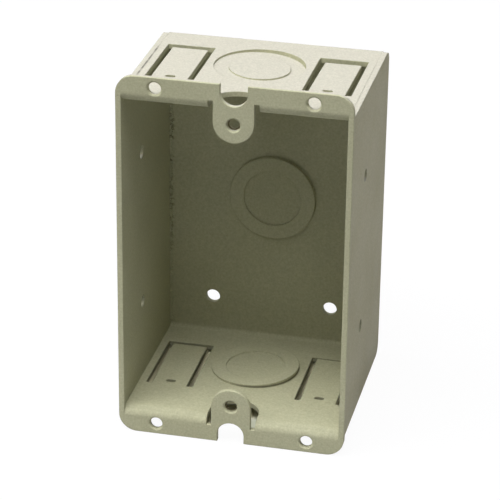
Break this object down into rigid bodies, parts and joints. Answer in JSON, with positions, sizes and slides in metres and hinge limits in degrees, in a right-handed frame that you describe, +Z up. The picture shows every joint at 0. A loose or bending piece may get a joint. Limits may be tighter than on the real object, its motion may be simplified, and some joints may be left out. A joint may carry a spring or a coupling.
{
  "type": "switch box",
  "caption": "Flush-mounting steel box for a wall switch, with front flanges, device ears, round knockouts and pry-out tabs.",
  "frame": {"origin": "middle of the front opening, in the plane of the flanges' front faces, midway between the two device screw holes", "axes": "+X to the right seen from the front, +Y into the box towards its back, +Z up"},
  "size_m": [0.0636, 0.0524, 0.1054],
  "materials": {
    "wrap": "eggshell enamel over mild steel sheet",
    "side_plates": "eggshell enamel over mild steel sheet"
  },
  "bodies": {
    "root": {"wrap": "wrap", "side_plate_left": "side_plates", "side_plate_right": "side_plates"}
  },
  "joints": []
}
